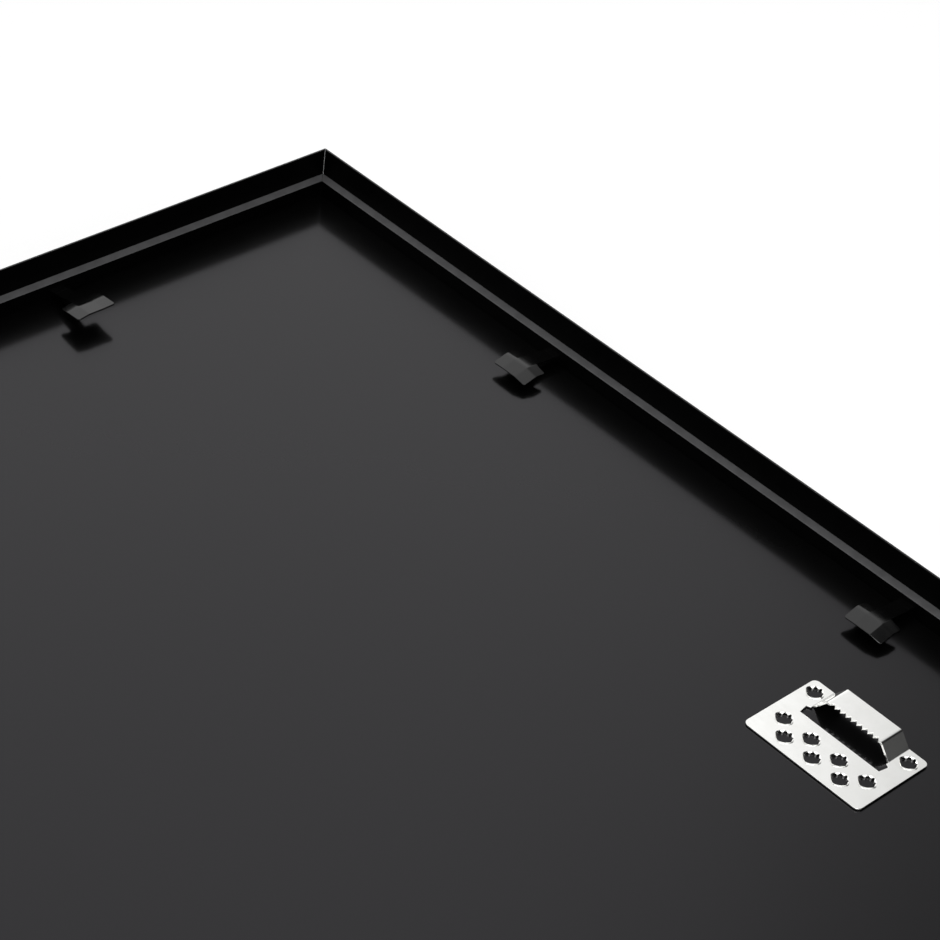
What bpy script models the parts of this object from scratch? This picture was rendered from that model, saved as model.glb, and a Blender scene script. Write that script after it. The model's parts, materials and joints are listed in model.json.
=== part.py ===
"""A shadow box frame for a 610 by 457 mm picture, lying face down with its back up.

World frame: X runs along the long rails, +Y points to the top of the picture, +Z is the back.
The front faces of the rails lie in the plane Z = 0, and the origin is at the middle of that plane.
"""

import math

import bmesh
import bpy
from mathutils import Matrix, Vector

# Driving dimensions, in metres and degrees

PICTURE_WIDTH = 0.610
PICTURE_HEIGHT = 0.457

# Stack of panels, from the front lip to the backing board
GLASS_THICKNESS = 0.002
DISPLAY_DEPTH = 0.020
CARD_THICKNESS = 0.0014
BOARD_THICKNESS = 0.003
RECESS_DEPTH = 0.0161

# Section of the rails
FACE_WIDTH = 0.010
LIP_THICKNESS = 0.0015
OUTER_WALL = 0.0009
CHAMBER_WIDTH = 0.0017
INNER_WALL = 0.0013
LEDGE_BELOW_BACK = 0.0101
LEDGE_DROP = 0.00045
LEDGE_WALL = 0.0013
FRONT_EDGE_RADIUS = 0.0005
BACK_EDGE_RADIUS = 0.0002

# Clearances
MITRE_GAP = 0.0003
SEAT_GAP = 0.0003
PANEL_CLEARANCE = 0.0004
KEY_CLEARANCE = 0.0003
SLOT_CLEARANCE = 0.0003
POCKET_CLEARANCE = 0.0003

# Corner keys
KEY_ARM = 0.030
KEY_HEIGHT = 0.024
KEY_ABOVE_LIP = 0.003

SPACER_THICKNESS = 0.0028

# Bendable tabs
TAB_SHEET = 0.0005
TAB_ARM_WIDTH = 0.0055
TAB_ARM_LENGTH = 0.0099
TAB_RAISED_ARM_LENGTH = 0.0117
TAB_HEAD_WIDTH = 0.0148
TAB_HEAD_LENGTH = 0.0103
TAB_END_BEND = 9.0
TAB_BEND_RADIUS = 0.012
TAB_HOOK_HEIGHT = 0.004
TAB_BELOW_BACK = 0.0126
TAB_AXIS_FROM_WALL = 0.0010
TAB_AXIS_GAP = 0.00035
TAB_DOWN_ARM = -3.0
TAB_DOWN_HEAD = 1.0
TAB_RAISED_ARM = 4.0
TAB_RAISED_HEAD = 17.0
LONG_END_TAB_FROM_CORNER = 0.1259
LONG_MIDDLE_TAB_FROM_CENTRE = 0.0268
SHORT_TAB_FROM_CORNER = 0.1202

# Sawtooth hanger: a raised bar between two ears, a window below the bar, and a band of claws
HANGER_SHEET = 0.0008
HANGER_CORNER_RADIUS = 0.0018
HANGER_BELOW_TOP = 0.0507
BAR_TOP_LENGTH = 0.0210
BAR_LEG_RUN = 0.0040
BAR_RISE = 0.0042
BAR_WIDTH = 0.0092
BAR_LAP = 0.0006
BAR_EDGE_INSET = 0.00005
EAR_LENGTH = 0.00775
WINDOW_BELOW_BAR = 0.0052
WINDOW_OVERRUN = 0.0007
WINDOW_SHOULDER = 0.0012
WINDOW_FLARE = 0.0006
CLAW_BAND = 0.0171

# Teeth on the bar's lower edge
TOOTH_PITCH = 0.0021
TOOTH_DEPTH = 0.0012
TOOTH_MARGIN = 0.0009

# Claws: two in the ears and two rows in the band
CLAW_PITCH = 0.011
CLAW_HOLE_RADIUS = 0.00255
CLAW_WALL = 0.00035
CLAW_LAP = 0.00015
CLAW_DEPTH = 0.0019
CLAW_NOTCH = 0.0013
CLAW_TAPER = 0.00025
CLAW_POINTS = 6
EAR_CLAW_DOWN = 0.0042
EAR_CLAW_SHIFT = -0.0006
UPPER_ROW_COUNT = 4
UPPER_ROW_UP = 0.0110
UPPER_ROW_SHIFT = -0.0004
LOWER_ROW_COUNT = 3
LOWER_ROW_UP = 0.0052
LOWER_ROW_SHIFT = -0.0007

# Sizes that follow from the driving dimensions

WALL = OUTER_WALL + CHAMBER_WIDTH + INNER_WALL
FRAME_WIDTH = PICTURE_WIDTH + 2 * (WALL + PANEL_CLEARANCE)
FRAME_HEIGHT = PICTURE_HEIGHT + 2 * (WALL + PANEL_CLEARANCE)

GLASS_Z = LIP_THICKNESS + SEAT_GAP
SPACER_Z = GLASS_Z + GLASS_THICKNESS + SEAT_GAP
CARD_Z = SPACER_Z + DISPLAY_DEPTH + SEAT_GAP
BOARD_Z = CARD_Z + CARD_THICKNESS + SEAT_GAP
BOARD_TOP = BOARD_Z + BOARD_THICKNESS
BACK_Z = BOARD_TOP + RECESS_DEPTH
LEDGE_Z = BACK_Z - LEDGE_BELOW_BACK
CHAMBER_TOP = LEDGE_Z - LEDGE_DROP - LEDGE_WALL

TAB_AXIS_Z = BACK_Z - TAB_BELOW_BACK
TAB_AXIS_IN = WALL + TAB_AXIS_FROM_WALL

HANGER_Z = BOARD_TOP + SEAT_GAP
HANGER_TOP_Y = FRAME_HEIGHT / 2 - HANGER_BELOW_TOP
BAR_ROOT_LENGTH = BAR_TOP_LENGTH + 2 * BAR_LEG_RUN
HANGER_LENGTH = BAR_ROOT_LENGTH + 2 * EAR_LENGTH
WINDOW_DEPTH = BAR_WIDTH + WINDOW_BELOW_BAR
WINDOW_LENGTH = BAR_ROOT_LENGTH + 2 * WINDOW_OVERRUN
HANGER_WIDTH = WINDOW_DEPTH + CLAW_BAND
TOOTH_COUNT = int((BAR_TOP_LENGTH - 2 * TOOTH_MARGIN) / TOOTH_PITCH)


def clear_scene():
    """Remove every object, so that the script starts from nothing."""
    for old in list(bpy.data.objects):
        bpy.data.objects.remove(old, do_unlink=True)


def new_collection(name):
    """Make a collection in the scene."""
    collection = bpy.data.collections.new(name)
    bpy.context.scene.collection.children.link(collection)
    return collection


def new_material(name, color, roughness, metallic=0.0, alpha=1.0):
    """Make a Principled material of one colour."""
    material = bpy.data.materials.new(name)
    material.use_nodes = True
    shader = material.node_tree.nodes["Principled BSDF"]
    shader.inputs["Base Color"].default_value = (*color, 1.0)
    shader.inputs["Roughness"].default_value = roughness
    shader.inputs["Metallic"].default_value = metallic
    shader.inputs["Alpha"].default_value = alpha
    material.diffuse_color = (*color, alpha)
    return material


def add_object(name, mesh, material=None, place=None):
    """Put a mesh into the parts collection as a named object."""
    thing = bpy.data.objects.new(name, mesh)
    PARTS.objects.link(thing)
    if material is not None:
        mesh.materials.append(material)
    if place is not None:
        thing.matrix_world = place
    return thing


def as_cutter(thing):
    """Move a guide object to the cutters collection, out of the model."""
    PARTS.objects.unlink(thing)
    CUTTERS.objects.link(thing)
    thing.hide_render = True
    thing.display_type = "WIRE"
    return thing


def add_boolean(thing, other, operation):
    """Cut, join or intersect a part with a guide object."""
    step = thing.modifiers.new(operation.title() + " " + other.name, "BOOLEAN")
    step.operation = operation
    step.solver = "EXACT"
    step.object = other


def mesh_from_bmesh(name, shape):
    """Turn a bmesh into a mesh and free it."""
    mesh = bpy.data.meshes.new(name)
    shape.normal_update()
    shape.to_mesh(mesh)
    shape.free()
    return mesh


def box_mesh(name, low, high):
    """A box from its lowest to its highest corner."""
    shape = bmesh.new()
    bmesh.ops.create_cube(shape, size=1.0)
    middle = (Vector(low) + Vector(high)) / 2
    size = Vector(high) - Vector(low)
    bmesh.ops.scale(shape, vec=size, verts=shape.verts)
    bmesh.ops.translate(shape, vec=middle, verts=shape.verts)
    return mesh_from_bmesh(name, shape)


def outline_mesh(name, loops, thickness):
    """A flat outline with holes, extruded to a thickness centred on its own plane."""
    curve = bpy.data.curves.new(name, "CURVE")
    curve.dimensions = "2D"
    curve.fill_mode = "BOTH"
    curve.extrude = thickness / 2
    for loop in loops:
        spline = curve.splines.new("POLY")
        spline.points.add(len(loop) - 1)
        for point, (across, along) in zip(spline.points, loop):
            point.co = (across, along, 0.0, 1.0)
        spline.use_cyclic_u = True
    guide = bpy.data.objects.new(name, curve)
    bpy.context.scene.collection.objects.link(guide)
    bpy.context.view_layer.update()
    evaluated = guide.evaluated_get(bpy.context.evaluated_depsgraph_get())
    mesh = bpy.data.meshes.new_from_object(evaluated)
    mesh.name = name
    bpy.data.objects.remove(guide, do_unlink=True)
    bpy.data.curves.remove(curve)

    shape = bmesh.new()
    shape.from_mesh(mesh)
    bmesh.ops.remove_doubles(shape, verts=shape.verts, dist=1e-6)
    bmesh.ops.recalc_face_normals(shape, faces=shape.faces)
    shape.to_mesh(mesh)
    shape.free()
    return mesh


def rounded(corners, steps=3):
    """Replace each (x, y, radius) corner of an outline with an arc of its radius."""
    points = []
    count = len(corners)
    for index, (x, y, radius) in enumerate(corners):
        here = Vector((x, y))
        if radius <= 0:
            points.append((x, y))
            continue
        before = Vector(corners[index - 1][:2]) - here
        after = Vector(corners[(index + 1) % count][:2]) - here
        half_angle = before.angle(after) / 2
        start = here + before.normalized() * radius / math.tan(half_angle)
        end = here + after.normalized() * radius / math.tan(half_angle)
        bisector = (before.normalized() + after.normalized()).normalized()
        centre = here + bisector * radius / math.sin(half_angle)
        for step in range(steps + 1):
            spoke = (start - centre).lerp(end - centre, step / steps)
            points.append(tuple(centre + spoke.normalized() * radius))
    return points


def circle(x, y, radius, first_turn=0.0, segments=16):
    """Points of a round hole in an outline; the first turn keeps a row's corners off one line."""
    turns = [first_turn + 2 * math.pi * step / segments for step in range(segments)]
    return [(x + radius * math.cos(turn), y + radius * math.sin(turn)) for turn in turns]


def rail_frame(x, y, degrees):
    """The place of a rail: its outer face's middle, and its turn about the world's Z."""
    return Matrix.Translation((x, y, 0.0)) @ Matrix.Rotation(math.radians(degrees), 4, "Z")


# Rails: in a rail's own frame X runs along it, Y points into the picture and Z to the back

RAILS = {
    "top": (FRAME_WIDTH, rail_frame(0.0, FRAME_HEIGHT / 2, 180.0)),
    "bottom": (FRAME_WIDTH, rail_frame(0.0, -FRAME_HEIGHT / 2, 0.0)),
    "left": (FRAME_HEIGHT, rail_frame(-FRAME_WIDTH / 2, 0.0, -90.0)),
    "right": (FRAME_HEIGHT, rail_frame(FRAME_WIDTH / 2, 0.0, 90.0)),
}

LONG_END_TAB = FRAME_WIDTH / 2 - LONG_END_TAB_FROM_CORNER
SHORT_END_TAB = FRAME_HEIGHT / 2 - SHORT_TAB_FROM_CORNER
LONG_TABS = (-LONG_END_TAB, LONG_MIDDLE_TAB_FROM_CENTRE, LONG_END_TAB)
SHORT_TABS = (-SHORT_END_TAB, SHORT_END_TAB)
TABS = {"top": LONG_TABS, "bottom": LONG_TABS, "left": SHORT_TABS, "right": SHORT_TABS}
RAISED_TABS = {("left", 0)}


def rail_section():
    """The hollow section of every rail, as loops of (inward, height) points."""
    outer = rounded([
        (0.0, 0.0, FRONT_EDGE_RADIUS),
        (FACE_WIDTH, 0.0, FRONT_EDGE_RADIUS),
        (FACE_WIDTH, LIP_THICKNESS, FRONT_EDGE_RADIUS),
        (WALL, LIP_THICKNESS, 0.0),
        (WALL, LEDGE_Z - LEDGE_DROP, BACK_EDGE_RADIUS),
        (OUTER_WALL, LEDGE_Z, 0.0),
        (OUTER_WALL, BACK_Z, BACK_EDGE_RADIUS),
        (0.0, BACK_Z, BACK_EDGE_RADIUS),
    ], steps=2)
    chamber = [
        (OUTER_WALL, LIP_THICKNESS),
        (OUTER_WALL + CHAMBER_WIDTH, LIP_THICKNESS),
        (OUTER_WALL + CHAMBER_WIDTH, CHAMBER_TOP),
        (OUTER_WALL, CHAMBER_TOP),
    ]
    return [outer, chamber]


def rail_mesh(name, length):
    """A rail with its section extruded along X and both ends mitred at 45 degrees."""
    mesh = outline_mesh(name, rail_section(), length)
    mesh.transform(Matrix(((0, 0, 1, 0), (1, 0, 0, 0), (0, 1, 0, 0), (0, 0, 0, 1))))
    for vertex in mesh.vertices:
        inward = vertex.co.y
        mitred = length / 2 - inward - MITRE_GAP / math.sqrt(2)
        vertex.co.x = math.copysign(mitred, vertex.co.x)
    return mesh


def slot_mesh(name, tabs):
    """Cutter for the slots that the tab feet pass through, one box at each tab."""
    shape = bmesh.new()
    for along in tabs:
        cube = bmesh.ops.create_cube(shape, size=1.0)["verts"]
        wide = TAB_ARM_WIDTH + 2 * SLOT_CLEARANCE
        high = TAB_SHEET + 2 * SLOT_CLEARANCE
        deep = INNER_WALL + CHAMBER_WIDTH / 2
        bmesh.ops.scale(shape, vec=(wide, deep, high), verts=cube)
        inward = OUTER_WALL + CHAMBER_WIDTH + INNER_WALL / 2
        bmesh.ops.translate(shape, vec=(along, inward, TAB_AXIS_Z), verts=cube)
    return mesh_from_bmesh(name, shape)


def build_rails():
    """Four mitred rails, each with its slots."""
    for side, (length, place) in RAILS.items():
        name = side + "_rail"
        rail = add_object(name, rail_mesh(name, length), BLACK_METAL, place)
        slots = add_object(side + "_slots", slot_mesh(side + "_slots", TABS[side]), None, place)
        add_boolean(rail, as_cutter(slots), "DIFFERENCE")


def build_corner_keys():
    """Four L-shaped plates that slide into the chambers and hold the mitres together."""
    near = OUTER_WALL + KEY_CLEARANCE
    far = OUTER_WALL + CHAMBER_WIDTH - KEY_CLEARANCE
    outline = [(near, near), (KEY_ARM, near), (KEY_ARM, far), (far, far), (far, KEY_ARM), (near, KEY_ARM)]
    corners = {
        "top_left": (-FRAME_WIDTH / 2, FRAME_HEIGHT / 2, -90.0),
        "bottom_left": (-FRAME_WIDTH / 2, -FRAME_HEIGHT / 2, 0.0),
        "bottom_right": (FRAME_WIDTH / 2, -FRAME_HEIGHT / 2, 90.0),
        "top_right": (FRAME_WIDTH / 2, FRAME_HEIGHT / 2, 180.0),
    }
    middle = LIP_THICKNESS + KEY_ABOVE_LIP + KEY_HEIGHT / 2
    for corner, (x, y, degrees) in corners.items():
        mesh = outline_mesh("corner_key_" + corner, [outline], KEY_HEIGHT)
        place = Matrix.Translation((x, y, middle)) @ Matrix.Rotation(math.radians(degrees), 4, "Z")
        add_object("corner_key_" + corner, mesh, KEY_METAL, place)


def panel(name, low_z, thickness, material):
    """A sheet that fills the frame from rail to rail."""
    half_x = PICTURE_WIDTH / 2
    half_y = PICTURE_HEIGHT / 2
    mesh = box_mesh(name, (-half_x, -half_y, low_z), (half_x, half_y, low_z + thickness))
    return add_object(name, mesh, material)


def build_spacers():
    """Four strips that keep the glass and the display card apart."""
    half_x = PICTURE_WIDTH / 2
    half_y = PICTURE_HEIGHT / 2
    top_z = SPACER_Z + DISPLAY_DEPTH
    short_half = half_y - SPACER_THICKNESS - SEAT_GAP
    for side, sign in (("top", 1), ("bottom", -1)):
        edges = sorted((sign * half_y, sign * (half_y - SPACER_THICKNESS)))
        mesh = box_mesh(side + "_spacer", (-half_x, edges[0], SPACER_Z), (half_x, edges[1], top_z))
        add_object(side + "_spacer", mesh, WHITE_BOARD)
    for side, sign in (("right", 1), ("left", -1)):
        edges = sorted((sign * half_x, sign * (half_x - SPACER_THICKNESS)))
        low = (edges[0], -short_half, SPACER_Z)
        high = (edges[1], short_half, top_z)
        add_object(side + "_spacer", box_mesh(side + "_spacer", low, high), WHITE_BOARD)


def sheet_solid(name, shape, thickness, offset=0.0):
    """Thicken an open surface, to both sides or (offset -1) inward only, into a closed mesh."""
    surface = bpy.data.objects.new(name, mesh_from_bmesh(name, shape))
    bpy.context.scene.collection.objects.link(surface)
    thicken = surface.modifiers.new("Sheet", "SOLIDIFY")
    thicken.thickness = thickness
    thicken.offset = offset
    thicken.use_even_offset = True
    bpy.context.view_layer.update()
    evaluated = surface.evaluated_get(bpy.context.evaluated_depsgraph_get())
    mesh = bpy.data.meshes.new_from_object(evaluated)
    mesh.name = name
    bpy.data.objects.remove(surface, do_unlink=True)
    return mesh


def direction(degrees):
    """Unit vector in a tab's side view: inward and up."""
    turn = math.radians(degrees)
    return Vector((0.0, math.cos(turn), math.sin(turn)))


def strip_surface(path, width):
    """An open strip of one width that follows a path in a tab's side view."""
    shape = bmesh.new()
    half = width / 2
    ends = [shape.verts.new(path[0] + Vector((side * half, 0, 0))) for side in (-1, 1)]
    edge = shape.edges.new(ends)
    extend_strip(shape, edge, path)
    return shape


def extend_strip(shape, edge, path):
    """Pull an edge along the rest of a path, one quad for each step."""
    for start, end in zip(path, path[1:]):
        made = bmesh.ops.extrude_edge_only(shape, edges=[edge])["geom"]
        moved = [item for item in made if isinstance(item, bmesh.types.BMVert)]
        bmesh.ops.translate(shape, vec=end - start, verts=moved)
        edge = next(item for item in made if isinstance(item, bmesh.types.BMEdge))


def bend_points(start, corner, end, radius, steps=3):
    """A path from start to end that turns at the corner on an arc."""
    before = (start - corner).normalized()
    after = (end - corner).normalized()
    half_angle = before.angle(after) / 2
    reach = radius / math.tan(half_angle)
    centre = corner + (before + after).normalized() * radius / math.sin(half_angle)
    first = corner + before * reach - centre
    last = corner + after * reach - centre
    arc = [centre + first.lerp(last, step / steps).normalized() * radius for step in range(steps + 1)]
    return [start, *arc, end]


def foot_mesh(name):
    """The fixed end of a tab: a hook in the rail's chamber and a tongue through the slot."""
    hook_in = (OUTER_WALL + CHAMBER_WIDTH / 2) - TAB_AXIS_IN
    low = Vector((0.0, hook_in, -TAB_HOOK_HEIGHT))
    corner = Vector((0.0, hook_in, 0.0))
    end = Vector((0.0, -TAB_AXIS_GAP, 0.0))
    path = [low, corner, end]
    return sheet_solid(name, strip_surface(path, TAB_ARM_WIDTH), TAB_SHEET)


def blade_mesh(name, arm_length, arm_degrees, head_degrees):
    """The part of a tab that bends: an arm from the axis, and a wide head with two creases."""
    arm = direction(arm_degrees)
    head = direction(head_degrees)
    head_up = direction(head_degrees + 90.0)
    elbow = arm * arm_length
    crease = TAB_ARM_WIDTH / 2
    end_drop = math.tan(math.radians(TAB_END_BEND)) * (TAB_HEAD_WIDTH / 2 - crease)

    path = bend_points(arm * TAB_AXIS_GAP, elbow, elbow + head * TAB_HEAD_LENGTH, TAB_BEND_RADIUS)
    neck = (path[-2] - elbow).length
    sides = (-TAB_HEAD_WIDTH / 2, -crease, crease, TAB_HEAD_WIDTH / 2)

    shape = bmesh.new()
    bmesh.ops.create_grid(shape, x_segments=3, y_segments=1, size=0.5)
    for vertex in shape.verts:
        column = round((vertex.co.x + 0.5) * 3)
        station = TAB_HEAD_LENGTH if vertex.co.y > 0 else neck
        drop = end_drop if column in (0, 3) else 0.0
        vertex.co = elbow + head * station - head_up * drop + Vector((sides[column], 0, 0))

    def from_neck(edge):
        return ((edge.verts[0].co + edge.verts[1].co) / 2 - path[-2]).length

    extend_strip(shape, min(shape.edges, key=from_neck), list(reversed(path[:-1])))
    bmesh.ops.recalc_face_normals(shape, faces=shape.faces)
    return sheet_solid(name, shape, TAB_SHEET)


def build_tabs():
    """Every tab's foot and blade; a blade's origin is on its bend, where it turns about its X."""
    for side, (_, place) in RAILS.items():
        for index, along in enumerate(TABS[side]):
            number = str(index + 1)
            raised = (side, index) in RAISED_TABS
            reach = TAB_RAISED_ARM_LENGTH if raised else TAB_ARM_LENGTH
            arm = TAB_RAISED_ARM if raised else TAB_DOWN_ARM
            head = TAB_RAISED_HEAD if raised else TAB_DOWN_HEAD
            bend = place @ Matrix.Translation((along, TAB_AXIS_IN, TAB_AXIS_Z))
            foot = side + "_tab_foot_" + number
            blade = side + "_tab_" + number
            add_object(foot, foot_mesh(foot), TAB_STEEL, bend)
            add_object(blade, blade_mesh(blade, reach, arm, head), TAB_STEEL, bend)


def claw_row(count, shift, up):
    """Places of a row of claws across the band, from the middle of the plate's top edge."""
    first = shift - (count - 1) * CLAW_PITCH / 2
    return [(first + step * CLAW_PITCH, up - HANGER_WIDTH) for step in range(count)]


def claw_places():
    """Where the hanger's claws are, from the middle of the plate's top edge."""
    ear = (HANGER_LENGTH - EAR_LENGTH) / 2
    ears = [(EAR_CLAW_SHIFT + side * ear, -EAR_CLAW_DOWN) for side in (-1, 1)]
    upper_row = claw_row(UPPER_ROW_COUNT, UPPER_ROW_SHIFT, UPPER_ROW_UP)
    lower_row = claw_row(LOWER_ROW_COUNT, LOWER_ROW_SHIFT, LOWER_ROW_UP)
    return ears + upper_row + lower_row


def hanger_outline():
    """The plate's outline from above, with the window that the bar was lanced from."""
    half = HANGER_LENGTH / 2
    root = BAR_ROOT_LENGTH / 2
    window = WINDOW_LENGTH / 2
    shoulder = -BAR_WIDTH - WINDOW_SHOULDER
    flare = shoulder - WINDOW_FLARE
    return rounded([
        (-half, -HANGER_WIDTH, HANGER_CORNER_RADIUS),
        (half, -HANGER_WIDTH, HANGER_CORNER_RADIUS),
        (half, 0.0, HANGER_CORNER_RADIUS),
        (root, 0.0, 0.0),
        (root, shoulder, 0.0),
        (window + WINDOW_FLARE, flare, 0.0),
        (window, -WINDOW_DEPTH, 0.0),
        (-window, -WINDOW_DEPTH, 0.0),
        (-window - WINDOW_FLARE, flare, 0.0),
        (-root, shoulder, 0.0),
        (-root, 0.0, 0.0),
        (-half, 0.0, HANGER_CORNER_RADIUS),
    ])


def mirrored(points):
    """The same points on the other side of X = 0, in the order that carries an outline on."""
    return [(-x, y) for x, y in reversed(points)]


def bar_side_outline():
    """The raised bar seen from the front: two sloping legs and a flat top."""
    top = BAR_TOP_LENGTH / 2
    root = BAR_ROOT_LENGTH / 2
    lap = root + BAR_LAP
    lean = math.atan2(BAR_RISE, root - top)
    inset = HANGER_SHEET * math.tan(lean / 2)
    high = HANGER_SHEET + BAR_RISE
    sunk = BAR_EDGE_INSET
    half = [
        (root - inset, sunk), (lap, sunk), (lap, HANGER_SHEET - sunk),
        (root, HANGER_SHEET - sunk), (top, high),
    ]
    return [(top - inset, high - HANGER_SHEET), *half, *mirrored(half), (inset - top, high - HANGER_SHEET)]


def bar_top_outline():
    """The bar seen from above, with the row of teeth along its lower edge."""
    lap = BAR_ROOT_LENGTH / 2 + BAR_LAP
    points = [(-lap, -BAR_EDGE_INSET), (-lap, -BAR_WIDTH)]
    first = -TOOTH_COUNT * TOOTH_PITCH / 2
    for tooth in range(TOOTH_COUNT):
        start = first + tooth * TOOTH_PITCH
        points.append((start, -BAR_WIDTH))
        points.append((start + TOOTH_PITCH / 2, -BAR_WIDTH + TOOTH_DEPTH))
    points += [(-first, -BAR_WIDTH), (lap, -BAR_WIDTH), (lap, -BAR_EDGE_INSET)]
    return points


def turn_of(vertex):
    """A vertex's turn about its own Z."""
    return math.atan2(vertex.co.y, vertex.co.x)


def claw_mesh(name):
    """A ring of points at each claw, punched down from the plate: closed bodies in one mesh."""
    shape = bmesh.new()
    ring_size = {
        "segments": 2 * CLAW_POINTS,
        "radius1": CLAW_HOLE_RADIUS + CLAW_LAP - CLAW_TAPER,
        "radius2": CLAW_HOLE_RADIUS + CLAW_LAP,
        "depth": CLAW_DEPTH + HANGER_SHEET / 2,
    }
    middle = (HANGER_SHEET / 2 - CLAW_DEPTH) / 2
    for along, across in claw_places():
        ring = bmesh.ops.create_cone(shape, cap_ends=False, **ring_size)["verts"]
        rim = sorted((vertex for vertex in ring if vertex.co.z < 0), key=turn_of)
        for vertex in rim[::2]:
            vertex.co.z += CLAW_NOTCH
        bmesh.ops.translate(shape, vec=(along, across, middle), verts=ring)
    return sheet_solid(name, shape, CLAW_WALL, offset=-1.0)


def build_hanger():
    """The sawtooth hanger: a plate with claws, and the toothed bar raised above it."""
    place = Matrix.Translation((0.0, HANGER_TOP_Y, HANGER_Z))
    half_sheet = Matrix.Translation((0.0, 0.0, HANGER_SHEET / 2))
    holes = [circle(x, y, CLAW_HOLE_RADIUS, turn) for turn, (x, y) in enumerate(claw_places())]
    plate = outline_mesh("sawtooth_hanger", [hanger_outline(), *holes], HANGER_SHEET)
    hanger = add_object("sawtooth_hanger", plate, BRIGHT_STEEL, place @ half_sheet)

    bar_middle = Matrix.Translation((0.0, -BAR_WIDTH / 2, 0.0))
    upright = bar_middle @ Matrix.Rotation(math.radians(90.0), 4, "X")
    side_view = outline_mesh("hanger_bar", [bar_side_outline()], BAR_WIDTH)
    bar = as_cutter(add_object("hanger_bar", side_view, None, place @ upright))
    high = HANGER_SHEET + BAR_RISE
    top_view = outline_mesh("hanger_bar_teeth", [bar_top_outline()], 2 * high)
    half_high = Matrix.Translation((0.0, 0.0, high / 2))
    teeth = as_cutter(add_object("hanger_bar_teeth", top_view, None, place @ half_high))
    add_boolean(bar, teeth, "INTERSECT")

    claws = as_cutter(add_object("hanger_claws", claw_mesh("hanger_claws"), None, place))
    add_boolean(hanger, bar, "UNION")
    add_boolean(hanger, claws, "UNION")


def build_board():
    """The backing board, with a pocket under each claw."""
    board = panel("backing_board", BOARD_Z, BOARD_THICKNESS, DARK_BOARD)
    shape = bmesh.new()
    radius = CLAW_HOLE_RADIUS + CLAW_LAP + POCKET_CLEARANCE
    hole_size = {"segments": 2 * CLAW_POINTS, "radius1": radius, "radius2": radius, "depth": 2 * CLAW_DEPTH}
    for along, across in claw_places():
        hole = bmesh.ops.create_cone(shape, cap_ends=True, **hole_size)["verts"]
        bmesh.ops.translate(shape, vec=(along, across + HANGER_TOP_Y, BOARD_TOP), verts=hole)
    pockets = as_cutter(add_object("claw_pockets", mesh_from_bmesh("claw_pockets", shape)))
    add_boolean(board, pockets, "DIFFERENCE")


clear_scene()
PARTS = new_collection("shadow_box_frame")
CUTTERS = new_collection("cutters")

BLACK_METAL = new_material("black_metal", (0.020, 0.020, 0.021), 0.45, 0.0)
KEY_METAL = new_material("key_metal", (0.45, 0.45, 0.46), 0.40, 1.0)
TAB_STEEL = new_material("tab_steel", (0.022, 0.022, 0.023), 0.42, 0.0)
BRIGHT_STEEL = new_material("bright_steel", (0.80, 0.80, 0.78), 0.22, 1.0)
DARK_BOARD = new_material("dark_board", (0.012, 0.012, 0.013), 0.30, 0.0)
WHITE_BOARD = new_material("white_board", (0.80, 0.79, 0.76), 0.80, 0.0)
CLEAR_GLASS = new_material("clear_glass", (0.90, 0.95, 0.94), 0.05, 0.0, alpha=0.25)

build_rails()
build_corner_keys()
panel("front_glass", GLASS_Z, GLASS_THICKNESS, CLEAR_GLASS)
build_spacers()
panel("display_card", CARD_Z, CARD_THICKNESS, WHITE_BOARD)
build_board()
build_hanger()
build_tabs()
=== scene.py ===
"""Looks of a shadow box frame that lies face down: finishes, bent tabs, hanger, light and camera.

World frame as in the model: X along the long rails, +Y to the top of the picture, +Z out of the
back. Lengths are in metres and angles in degrees unless a name says otherwise.
"""

import json
import math

import bmesh
import bpy
from mathutils import Matrix, Vector


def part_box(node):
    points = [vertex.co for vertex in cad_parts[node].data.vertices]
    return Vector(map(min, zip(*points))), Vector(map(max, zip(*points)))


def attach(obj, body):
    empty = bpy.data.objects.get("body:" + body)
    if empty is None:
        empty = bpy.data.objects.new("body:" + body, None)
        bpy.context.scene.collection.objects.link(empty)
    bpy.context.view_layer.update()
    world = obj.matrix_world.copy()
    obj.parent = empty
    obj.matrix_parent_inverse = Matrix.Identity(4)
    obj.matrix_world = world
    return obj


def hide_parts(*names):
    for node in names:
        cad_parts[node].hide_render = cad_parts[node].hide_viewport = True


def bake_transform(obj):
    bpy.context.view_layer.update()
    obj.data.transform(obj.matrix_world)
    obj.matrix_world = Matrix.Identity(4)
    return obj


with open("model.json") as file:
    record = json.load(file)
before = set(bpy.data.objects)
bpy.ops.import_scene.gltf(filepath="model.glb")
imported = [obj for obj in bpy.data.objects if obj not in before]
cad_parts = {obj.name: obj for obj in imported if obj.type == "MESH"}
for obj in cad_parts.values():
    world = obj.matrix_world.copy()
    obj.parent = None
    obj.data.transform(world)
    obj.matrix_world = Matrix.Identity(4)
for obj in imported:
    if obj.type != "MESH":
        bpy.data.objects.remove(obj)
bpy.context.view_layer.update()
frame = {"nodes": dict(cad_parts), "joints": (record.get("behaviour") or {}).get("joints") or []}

MM = 0.001

# Places that follow from the model

_, TOP_RAIL_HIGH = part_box("top_rail")
_, RIGHT_RAIL_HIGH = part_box("right_rail")
BOARD_LOW, BOARD_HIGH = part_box("backing_board")
HANGER_LOW, HANGER_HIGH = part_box("sawtooth_hanger")

HALF_WIDTH = RIGHT_RAIL_HIGH.x
HALF_HEIGHT = TOP_RAIL_HIGH.y
BACK_Z = TOP_RAIL_HIGH.z
BOARD_TOP = BOARD_HIGH.z

# Section of the rails. A face counts as turned up or inward when its normal's share that way is
# above FACING

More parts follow.
